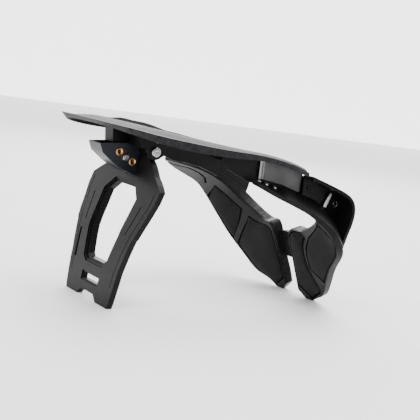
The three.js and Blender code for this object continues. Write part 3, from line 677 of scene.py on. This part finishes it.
def band_ring(side, at):
    y, z, inner, outer = row_at(SHELL_BAND, at)
    ahead, behind = row_at(SHELL_BAND, min(at + 0.1, 8)), row_at(SHELL_BAND, max(at - 0.1, 0))
    along = Vector(((ahead[0] - behind[0]) * REACH, (ahead[1] - behind[1]) * HEIGHT)).normalized()

    def spot(x, depth):
        return Vector((side * x * HALF_WIDTH, y * REACH + along.y * SHELL * depth + SHIFT,
                       z * HEIGHT - along.x * SHELL * depth))
    return [spot(inner, 0), spot(outer, 0), spot(outer, 1), spot(inner, 1)]


# Screw block at the rear end of the shell's web: y, z
SHELL_BLOCK = [(0.326, 0.806), (0.400, 0.790), (0.400, 0.672), (0.326, 0.672)]
# Where the web, the block and the arch mark start and end across, and where the screw well is: x in metres, y, z
WEB_SPAN, BLOCK_SPAN, ARCH_SPAN = (0.076, 0.079), (0.0745, 0.0805), (0.0782, 0.081)
WELL_AT = (0.0815, 0.372, 0.738)
# The ring-shaped well round the screw, as radius and depth in millimetres
WELL = [(1.9, 0), (1.9, 2.2), (3.0, 2.2), (3.0, 0)]

for side, word in ((1, "right"), (-1, "left")):
    band = loft("front_shell_skin_" + word, [band_ring(side, at) for at in steps(0, 8, 70)])
    rim = []
    for at in steps(0, 6, 24):
        y, z, _, _ = row_at(SHELL_BAND, at)
        rim.append((y * REACH - 1 * MM + SHIFT, z * HEIGHT - 1 * MM))
    web = rim + [(0.5 * REACH + SHIFT, 0.56 * HEIGHT), (0.345 * REACH + SHIFT, 0.66 * HEIGHT)]
    join_to(band, prism("web", web, 0, *(side * x for x in WEB_SPAN)))
    block = [(y * REACH + SHIFT, z * HEIGHT) for y, z in SHELL_BLOCK]
    join_to(band, prism("block", block, 0, *(side * x for x in BLOCK_SPAN)))
    cut(band, wing_body(side, "wing_space"))
    mark = Vector((side * WELL_AT[0], WELL_AT[1] * REACH + SHIFT, WELL_AT[2] * HEIGHT))
    rings = [circle(mark - Vector((side * d * MM, 0, 0)), r * MM, (side, 0, 0), 28) for r, d in WELL]
    cut(band, loft("well", rings + rings[:1], closed=False))
    arch = [(0.592 + 0.034 * math.cos(a), 0.668 + 0.042 * math.sin(a)) for a in steps(-0.2, math.pi + 0.2, 12)]
    arch = ribbon([(y * REACH + SHIFT, z * HEIGHT) for y, z in arch], 1.0 * MM)
    cut(band, prism("arch", arch, 0, *(side * x for x in ARCH_SPAN)))
    # The rounded edges get the lighter edge colour, a painted highlight
    soften(band, 0.6 * MM, 3, edge=painted_edge_highlight)
    dress(band, "brace", "frame_nylon", nylon, "front_shell_" + word)


# Back strut

def mirrored(half):
    """A half outline with its left half added."""
    return list(half) + [(-x, z) for x, z in reversed(half) if x > 1e-9]


def flat(points):
    return [(x * HALF_WIDTH, z * HEIGHT) for x, z in points]


def strut_slab(name, start, end, half):
    """A slab that follows the strut's outer face, between two distances in from it."""
    rings = []
    for x in steps(-half, half, 2):
        outer, inner = [], []
        for at in steps(0, len(STRUT_PROFILE) - 1, 48):
            y, z = row_at(STRUT_PROFILE, at)
            outer.append(Vector((x, y * REACH + start + SHIFT, z * HEIGHT)))
            inner.append(Vector((x, y * REACH + end + SHIFT, z * HEIGHT)))
        rings.append(outer + inner[::-1])
    return loft(name, rings)


def inflate(points, amount):
    """Moves an outline's points outwards."""
    out = []
    n = len(points)
    for i, (x, z) in enumerate(points):
        before, after = points[i - 1], points[(i + 1) % n]
        d1 = Vector((x - before[0], z - before[1])).normalized()
        d2 = Vector((after[0] - x, after[1] - z)).normalized()
        normal = Vector((d1.y + d2.y, -d1.x - d2.x))
        normal = normal.normalized() * amount / max(0.5, math.cos(d1.angle(d2) / 2))
        out.append((x + normal.x, z + normal.y))
    return out


def through(name, outline):
    """An outline lifted along Y through the whole strut."""
    return prism(name, outline, 1, -0.20 + SHIFT, SHIFT)


def skin_cut(body, outline, depth):
    """Sinks an outline into the strut's outer face."""
    shape = through("sunk", outline)
    join_to(shape, strut_slab("slab", -3 * MM, depth, HALF_WIDTH), "INTERSECT")
    cut(body, shape)


# Outlines on the strut as shares of its size: the foot slot, the side slot's two ends, and the grooves on each leg
FOOT_SLOT = [(-0.140, 0.092), (0.140, 0.092), (0.140, 0.126), (-0.140, 0.126)]
SIDE_SLOT, SIDE_SLOT_HALF = ((-0.350, 0.185), (-0.384, 0.350)), 1.7 * MM
LEG_GROOVE = [(0.420, 0.560), (0.392, 0.470), (0.362, 0.400)]
EDGE_GROOVE = [(0.535, 0.640), (0.532, 0.585), (0.490, 0.480), (0.448, 0.392), (0.412, 0.300), (0.380, 0.200),
               (0.362, 0.110)]
# The ribs inside the opening: lowest and highest, how many steps, and each one's length and width
OPENING_RIBS, RIB_STEPS, RIB_LONG, RIB_WIDE = (0.300, 0.575), 34, 0.9 * MM, 0.6 * MM
PIVOT_BORE, PIVOT_BORE_DEPTH = 2.7 * MM, 12 * MM


def opening_rib(side, z):
    """One fine rib on the opening's side wall."""
    x = mix(0.208, 0.256, (z - 0.300) / 0.275) if z > 0.384 else mix(0.200, 0.232, (z - 0.300) / 0.084)
    wall, foot = side * x * HALF_WIDTH, side * (x * HALF_WIDTH - RIB_LONG)
    rib = through("rib", ribbon([(wall, z * HEIGHT), (foot, z * HEIGHT)], RIB_WIDE))
    return join_to(rib, strut_slab("slab", 3.1 * MM, 9 * MM, HALF_WIDTH), "INTERSECT")


def strut():
    """The strut's body, and the ribs of its opening."""
    top = [(STRUT_TOP, PIVOT[2] - 7.6 * MM), (STRUT_TOP, STRUT_PROFILE[-1][1] * HEIGHT)]
    outline = mirrored(flat(STRUT_OUTLINE) + top)
    body = through("back_strut_body", outline)
    join_to(body, strut_slab("slab", 0, STRUT, HALF_WIDTH), "INTERSECT")
    opening = mirrored(flat(STRUT_OPENING))
    rim = through("rim", inflate(opening, 4.6 * MM))
    join_to(rim, strut_slab("slab", 3 * MM, 9.5 * MM, HALF_WIDTH), "INTERSECT")
    join_to(body, rim)
    cut(body, through("opening", opening))
    skin_cut(body, inflate(opening, 4.2 * MM), 1.2 * MM)
    skin_cut(body, inflate(opening, 2.2 * MM), 2.6 * MM)
    foot = flat(FOOT_SLOT)
    cut(body, through("foot_slot", foot))
    skin_cut(body, inflate(foot, 1.6 * MM), 1.2 * MM)
    (low_x, low_z), (high_x, high_z) = flat(SIDE_SLOT)
    half = SIDE_SLOT_HALF
    slot = [(low_x - half, low_z), (low_x + half, low_z), (high_x + half, high_z), (high_x - half, high_z)]
    cut(body, through("side_slot", slot))
    ribs = []
    for side in (-1, 1):
        skin_cut(body, ribbon([(side * x, z) for x, z in flat(LEG_GROOVE)], 1.3 * MM), 1.1 * MM)
        skin_cut(body, ribbon([(side * x, z) for x, z in flat(EDGE_GROOVE)], 0.8 * MM), 0.7 * MM)
        ribs += [opening_rib(side, z) for z in steps(*OPENING_RIBS, RIB_STEPS)]
        start = (side * STRUT_TOP * 0.72, PIVOT[1] + SHIFT, PIVOT[2])
        cut(body, turned("bore", [(PIVOT_BORE, 0), (PIVOT_BORE, PIVOT_BORE_DEPTH)], start, (side, 0, 0), 24))
    # The rounded edges get the lighter edge colour, a painted highlight
    return soften(body, 0.7 * MM, 2, angle=30, edge=painted_edge_highlight), ribs


strut_body, opening_ribs = strut()
deselect()
for rib in opening_ribs:
    rib.select_set(True)
bpy.context.view_layer.objects.active = opening_ribs[0]
bpy.ops.object.join()
ribs = bpy.context.object
ribs.name = "strut_opening_ribs"
dress(ribs, "strut", "frame_nylon", nylon, "back_strut")
dress(strut_body, "strut", "frame_nylon", nylon, "back_strut")


# Hub with its bushes and screws

BUSH = 3.7 * MM
# Half section of a bush, as radius and distance along its axis in millimetres
BUSH_PROFILE = [(1.7, 0), (3.7, 0), (3.7, 3.3), (3.4, 3.6), (2.9, 3.7), (2.5, 3.5), (2.2, 3.0), (1.7, 2.9)]


def hub():
    """The adjuster housing, hollow and open above, with a way through for the strut."""
    profile = [(y * REACH + SHIFT, z * HEIGHT) for y, z in HUB_PROFILE]
    body = prism("strut_hub_housing", profile, 0, -HUB_HALF, HUB_HALF)
    inner = [(y + CHEEK * 0.4, z + CHEEK * 1.4) for y, z in profile]
    # The hollow's inside gets a near-black colour: painted shade
    body.data.materials.append(slate)
    cut(body, prism("hollow", inner, 0, CHEEK - HUB_HALF, HUB_HALF - CHEEK), groove_painted_shade)
    cut(body, strut_slab("slab", -GAP, STRUT + GAP, 0.05))
    for side in (-1, 1):
        for y, z in HUB_SCREWS:
            bore = [(BUSH + GAP, 0), (BUSH + GAP, HUB_HALF + 2 * MM)]
            cut(body, turned("bore", bore, (0, y * REACH + SHIFT, z * HEIGHT), (side, 0, 0), 32))
    # The rounded edges get the lighter edge colour, a painted highlight
    return soften(body, 0.7 * MM, 3, edge=painted_edge_highlight)


dress(hub(), "strut", "hub_housing", slate, "strut_hub")

for side, word in ((1, "right"), (-1, "left")):
    for (y, z), end in ((HUB_SCREWS[0], "rear"), (HUB_SCREWS[2], "front")):
        start = (side * (HUB_HALF - CHEEK), y * REACH + SHIFT, z * HEIGHT)
        long = CHEEK + 0.7 * MM
        profile = [(r * MM, min(d * MM, long)) for r, d in BUSH_PROFILE + BUSH_PROFILE[:1]]
        axis = Vector((side, 0, 0))
        rings = [circle(Vector(start) + axis * d, r, axis) for r, d in profile]
        bush = loft("hub_bush_%s_%s" % (end, word), rings, closed=False)
        soften(bush, 0.12 * MM, 2)
        dress(bush, "strut", "bush_brass", brass, "hub_insert_%s_%s" % (end, word))


def slotted_screw(name, side, y, z, head, shank, seat, end, node, body):
    """A screw with a ring groove and a slot in its head, from its end to the seat of its head."""
    height = 2.2 * MM
    long = abs(seat - end)
    profile = [(0.0, 0), (shank, 0), (shank, long), (head, long), (head, long + height * 0.6),
               (head * 0.93, long + height * 0.9), (head * 0.8, long + height), (head * 0.72, long + height),
               (head * 0.68, long + height * 0.8), (head * 0.60, long + height * 0.8),
               (head * 0.56, long + height), (0.0, long + height)]
    screw = turned(name, profile, (side * end, y, z), (side, 0, 0), 48)
    half = 0.5 * MM
    slot = [(y - head * 0.5, z - half), (y + head * 0.5, z - half), (y + head * 0.5, z + half),
            (y - head * 0.5, z + half)]
    cut(screw, prism("slot", slot, 0, side * (seat + height - 1.2 * MM), side * (seat + height + 1 * MM)))
    soften(screw, 0.15 * MM, 2)
    dress(screw, body, "screw_steel", steel, node)


for side, word in ((1, "right"), (-1, "left")):
    y, z = HUB_SCREWS[1]
    slotted_screw("lock_screw_head_" + word, side, y * REACH + SHIFT, z * HEIGHT, 3.3 * MM, 1.7 * MM,
                  HUB_HALF - 1 * MM, HUB_HALF - CHEEK, "lock_screw_" + word, "strut")
    slotted_screw("pivot_screw_head_" + word, side, PIVOT[1] + SHIFT, PIVOT[2], 4.6 * MM, 2.3 * MM,
                  STRUT_TOP + 4.7 * MM, STRUT_TOP * 0.8, "pivot_screw_" + word, "brace")


# Carried-over solids get the same finishes
FINISHES = {"collar_post": nylon, "centre_clasp": rough_nylon}
for word in ("right", "left"):
    for name in ("front_pin_%s", "pin_ring_%s", "wing_rivet_%s_1", "wing_rivet_%s_2", "wing_rivet_%s_3"):
        FINISHES[name % word] = steel
for node, material in FINISHES.items():
    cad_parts[node].data.materials.clear()
    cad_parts[node].data.materials.append(material)


# Floor, light and surroundings

# A floor just under the feet, and a glowing wall behind it: its middle, its direction, its width and its height
FLOOR_WIDE, FLOOR_DROP = 14, 0.0002
WALL_AT, WALL_ALONG, WALL_WIDE, WALL_TALL = (-2.9, 1.97, -0.001), (0.561, 0.828, 0), 12, 5

deselect()
bpy.ops.mesh.primitive_plane_add(size=FLOOR_WIDE, location=(0, 0, -FLOOR_DROP))
floor = bpy.context.object
floor.name = "floor"
paper = finish("floor_paper", (0.90, 0.90, 0.90), (0.93, 0.93, 0.93), 0.7, grain=60, bump=0.0, patch=3)
floor.data.materials.append(paper)
floor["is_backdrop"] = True

deselect()
bpy.ops.mesh.primitive_plane_add(size=1, location=(0, 0, 0))
backdrop = bpy.context.object
backdrop.name = "backdrop"
for vertex in backdrop.data.vertices:
    wide, tall = vertex.co.x * WALL_WIDE, (vertex.co.y + 0.5) * WALL_TALL
    vertex.co = Vector(WALL_AT) + Vector(WALL_ALONG) * wide + Vector((0, 0, tall))
glow = finish("backdrop_glow", (0.95, 0.95, 0.95), (1.0, 1.0, 1.0), 0.8, grain=40, bump=0.0, patch=1)
glow_shader = glow.node_tree.nodes["Principled BSDF"]
glow_shader.inputs["Emission Color"].default_value = (1, 1, 1, 1)
glow_shader.inputs["Emission Strength"].default_value = 2.2
backdrop.data.materials.append(glow)
backdrop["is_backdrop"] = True


def area_light(name, position, size, power):
    """A soft light that looks at the brace."""
    data = bpy.data.lights.new(name, "AREA")
    data.energy = power
    data.shape = "RECTANGLE"
    data.size, data.size_y = size
    light = bpy.data.objects.new(name, data)
    bpy.context.scene.collection.objects.link(light)
    light.location = position
    light.rotation_euler = (Vector((0, 0, 0.1)) - Vector(position)).to_track_quat("-Z", "Y").to_euler()


area_light("key", (0.5, -1.4, 1.5), (0.9, 0.9), 22)
area_light("top", (-0.3, 0.3, 1.7), (1.6, 1.6), 44)
area_light("rim", (-1.3, 0.9, 0.9), (1.0, 0.8), 12)

world = bpy.data.worlds.new("studio")
bpy.context.scene.world = world
world.use_nodes = True
sky = world.node_tree.nodes["Background"]
sky.inputs["Color"].default_value = (1, 1, 1, 1)
sky.inputs["Strength"].default_value = 1.1

dressed_box = [list(corner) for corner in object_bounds()]
({"solids": [[float(v) for v in c] for c in solid_box],
           "dressed": [[float(v) for v in c] for c in dressed_box]})
